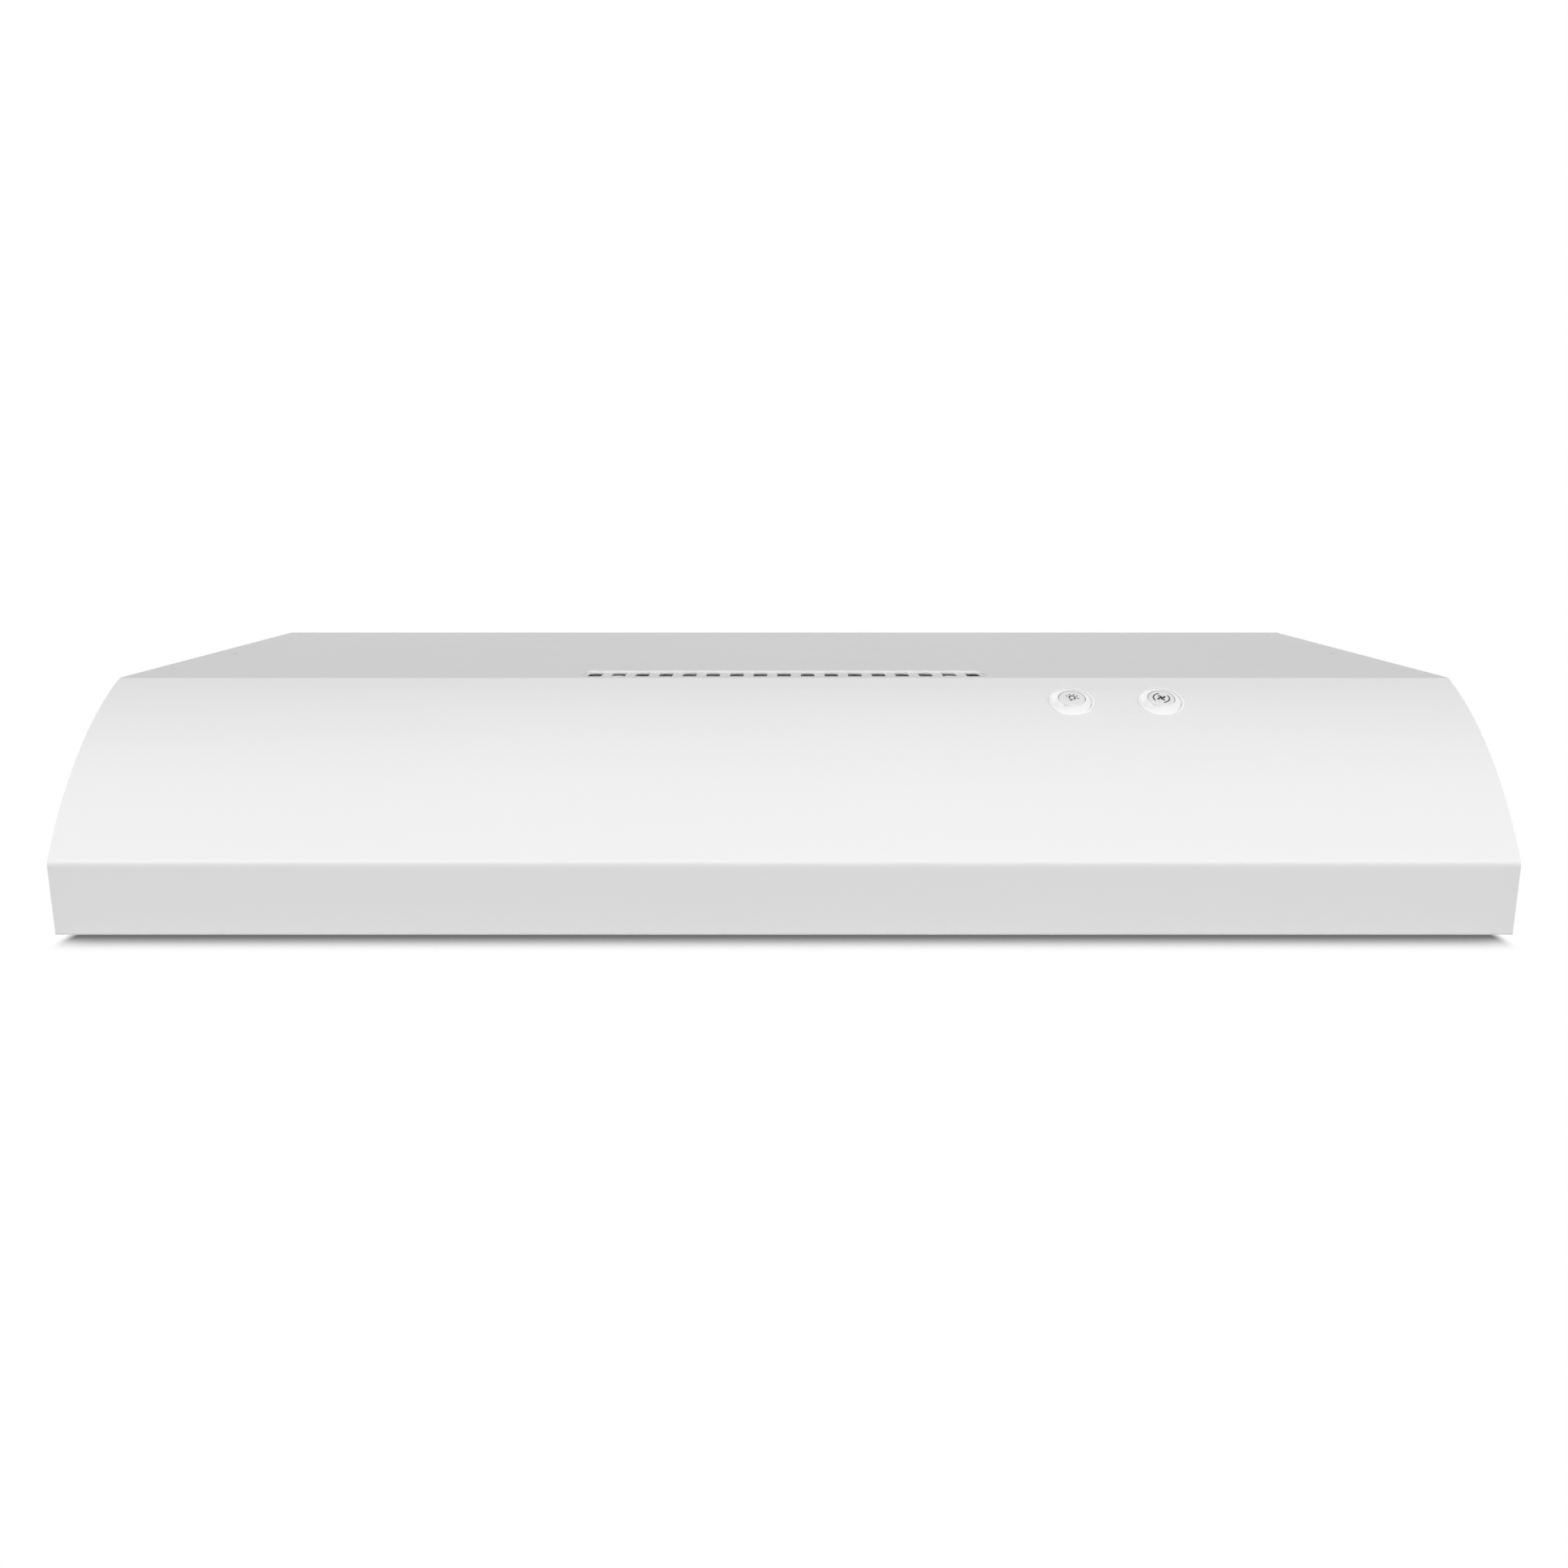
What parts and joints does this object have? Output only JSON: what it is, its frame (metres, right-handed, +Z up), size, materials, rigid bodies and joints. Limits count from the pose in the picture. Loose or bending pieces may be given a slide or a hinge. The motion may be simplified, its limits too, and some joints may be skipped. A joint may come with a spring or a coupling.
{
  "type": "under cabinet range hood",
  "caption": "Shallow white enamelled range hood with a curved front over a straight lip, slotted top strip, push buttons, tilting grease filters, lamps, twin-wheel blower and rear duct collar.",
  "frame": {"origin": "centre of the overall box (canopy and duct collar) at the level of the bottom rim", "axes": "+X to the viewer's right, +Y to the wall, +Z up; the curved front and its buttons face -Y"},
  "size_m": [0.913, 0.534, 0.146],
  "materials": {
    "white_enamel": "gloss",
    "white_button": "satin",
    "galvanised": "satin",
    "bright_steel": "satin",
    "filter_aluminium": "satin",
    "frosted_glass": "frosted",
    "lamp_glass": "clear",
    "ceramic": "matte",
    "grey_moulding": "matte",
    "black_moulding": "matte",
    "board_green": "satin",
    "motor_black": "satin",
    "laminations": "satin",
    "sintered_bronze": "satin",
    "black_rubber": "matte",
    "wire_sleeve": "matte"
  },
  "bodies": {
    "hood": {"canopy_wrap": "white_enamel", "side_panel_left": "white_enamel", "side_panel_right": "white_enamel", "back_panel": "white_enamel", "bottom_pan": "white_enamel", "pan_rail_left": "galvanised", "pan_rail_right": "galvanised", "duct_collar": "galvanised", "outlet_plenum": "galvanised", "wiring_box": "galvanised", "motor_bracket": "galvanised", "collar_screws": "bright_steel", "pan_screws": "bright_steel", "vent_deflector": "white_button", "control_box": "grey_moulding", "run_capacitor": "grey_moulding", "lamp_left_trim": "white_enamel", "lamp_left_lens": "frosted_glass", "lamp_left_bulb": "lamp_glass", "lamp_left_socket": "ceramic", "lamp_left_bracket": "galvanised", "scroll_left_wrapper": "galvanised", "scroll_left_inner_plate": "galvanised", "scroll_left_outer_plate": "galvanised", "lamp_right_trim": "white_enamel", "lamp_right_lens": "frosted_glass", "lamp_right_bulb": "lamp_glass", "lamp_right_socket": "ceramic", "lamp_right_bracket": "galvanised", "scroll_right_wrapper": "galvanised", "scroll_right_inner_plate": "galvanised", "scroll_right_outer_plate": "galvanised", "motor_can": "motor_black", "motor_stator": "laminations", "motor_bushings": "sintered_bronze", "motor_grommets": "black_rubber", "light_button_bezel": "white_button", "light_switch_body": "black_moulding", "fan_button_bezel": "white_button", "fan_switch_body": "black_moulding", "control_board": "board_green", "terminal_block": "ceramic", "cable_bushing": "black_moulding", "wire_harness": "wire_sleeve"},
    "light_button": {"light_button_cap": "white_button", "light_switch_plunger": "black_moulding"},
    "fan_button": {"fan_button_cap": "white_button", "fan_switch_plunger": "black_moulding"},
    "blower": {"motor_rotor": "laminations", "motor_shaft": "bright_steel", "blower_wheel_left": "filter_aluminium", "blower_wheel_right": "filter_aluminium"},
    "damper": {"damper_flap": "galvanised", "damper_rod": "bright_steel"},
    "filter_left": {"filter_left_frame": "filter_aluminium", "filter_left_mesh": "filter_aluminium", "filter_left_latch": "bright_steel"},
    "filter_right": {"filter_right_frame": "filter_aluminium", "filter_right_mesh": "filter_aluminium", "filter_right_latch": "bright_steel"}
  },
  "joints": [
    {"name": "light_button_press", "type": "slide", "parent": "hood", "child": "light_button", "axis": [0, 0.4557, -0.8901], "range_m": [0, 0.002], "stiffness_N_per_m": 1500, "springref_m": -0.0004},
    {"name": "fan_button_press", "type": "slide", "parent": "hood", "child": "fan_button", "axis": [0, 0.4557, -0.8901], "range_m": [0, 0.002], "stiffness_N_per_m": 1500, "springref_m": -0.0004},
    {"name": "blower_spin", "type": "hinge", "parent": "hood", "child": "blower", "pos_m": [0, 0.105, 0.09], "axis": [1, 0, 0], "continuous": true},
    {"name": "damper_swing", "type": "hinge", "parent": "hood", "child": "damper", "pos_m": [0, 0.24, 0.113], "axis": [1, 0, 0], "range_deg": [0, 75]},
    {"name": "filter_left_tilt", "type": "hinge", "parent": "hood", "child": "filter_left", "pos_m": [-0.214, 0.183, 0.023], "axis": [1, 0, 0], "range_deg": [0, 70], "deforming": ["filter_left_latch"]},
    {"name": "filter_right_tilt", "type": "hinge", "parent": "hood", "child": "filter_right", "pos_m": [0.214, 0.183, 0.023], "axis": [1, 0, 0], "range_deg": [0, 70], "deforming": ["filter_right_latch"]}
  ]
}
